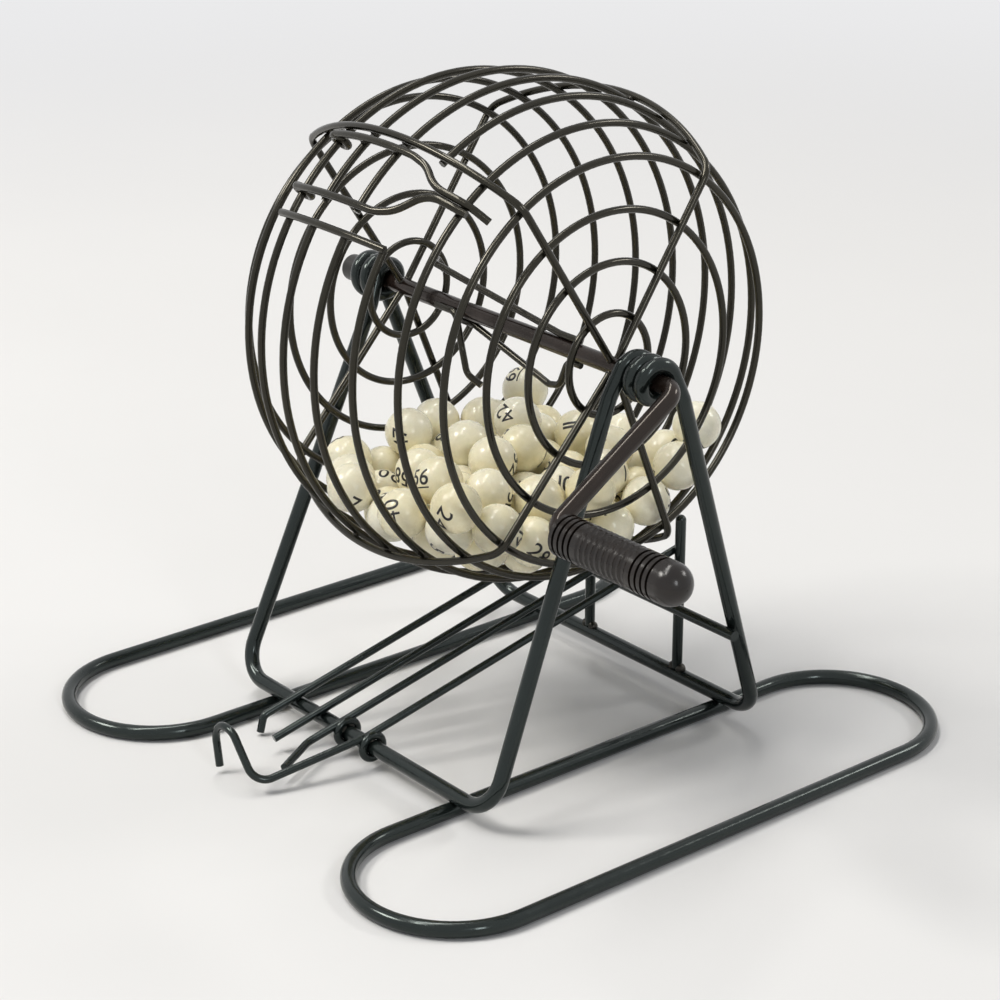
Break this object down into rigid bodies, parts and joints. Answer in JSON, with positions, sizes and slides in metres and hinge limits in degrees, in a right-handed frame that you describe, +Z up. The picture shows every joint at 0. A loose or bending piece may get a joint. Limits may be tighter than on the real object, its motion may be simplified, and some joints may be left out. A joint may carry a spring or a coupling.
{
  "type": "bingo cage",
  "caption": "Wire tumbler drum on a bent wire stand, turned by a side crank, with a hinged wire door, a ball chute below it and numbered balls inside.",
  "frame": {"origin": "on the table, straight below the middle of the cage", "axes": "+X along the axle towards the crank, -Y towards the front where the drawn ball rolls out, +Z up"},
  "size_m": [0.2511, 0.229, 0.2167],
  "materials": {
    "stand_wire": "gloss",
    "cage_wire": "gloss",
    "crank_steel": "gloss",
    "cap_plastic": "gloss",
    "grip_plastic": "satin",
    "ball_plastic": "gloss"
  },
  "bodies": {
    "stand": {"front_leg_frame": "stand_wire", "rear_leg_frame": "stand_wire", "apex_coil_left": "stand_wire", "apex_coil_right": "stand_wire", "base_loop_left": "stand_wire", "base_loop_right": "stand_wire", "upper_rear_bar": "stand_wire", "chute_left_rail": "stand_wire", "chute_floor_rail_left": "stand_wire", "chute_floor_rail_right": "stand_wire", "chute_right_rail_and_stop": "stand_wire", "chute_post_left": "stand_wire", "chute_post_right": "stand_wire", "bingo_balls": "ball_plastic"},
    "cage": {"crank_shaft": "crank_steel", "axle_end_cap": "cap_plastic", "door_sill_bar": "cage_wire", "cage_rib_56": "cage_wire", "cage_rib_123": "cage_wire", "cage_rib_228": "cage_wire", "cage_rib_292": "cage_wire", "ring_left_1": "cage_wire", "ring_left_2": "cage_wire", "ring_left_3": "cage_wire", "ring_left_4": "cage_wire", "ring_left_5": "cage_wire", "ring_left_6": "cage_wire", "ring_left_7": "cage_wire", "ring_right_1": "cage_wire", "ring_right_2": "cage_wire", "ring_right_3": "cage_wire", "ring_right_4": "cage_wire", "ring_right_5": "cage_wire", "ring_right_6": "cage_wire", "ring_right_7": "cage_wire", "selector_upper_wire": "cage_wire", "selector_lower_wire": "cage_wire", "selector_finger": "cage_wire"},
    "grip": {"crank_grip": "grip_plastic"},
    "door": {"door_upper_rod": "cage_wire", "door_lower_rod": "cage_wire", "door_slat_left": "cage_wire", "door_slat_right": "cage_wire"}
  },
  "joints": [
    {"name": "cage_spin", "type": "hinge", "parent": "stand", "child": "cage", "pos_m": [0, 0, 0.1355], "axis": [1, 0, 0], "continuous": true},
    {"name": "grip_spin", "type": "hinge", "parent": "cage", "child": "grip", "pos_m": [0.11, -0.04864, 0.10391], "axis": [1, 0, 0], "continuous": true},
    {"name": "door_hinge", "type": "hinge", "parent": "cage", "child": "door", "pos_m": [-0.02343, -0.05251, 0.19132], "axis": [0, -0.7284, -0.6851], "range_deg": [0, 70]}
  ]
}
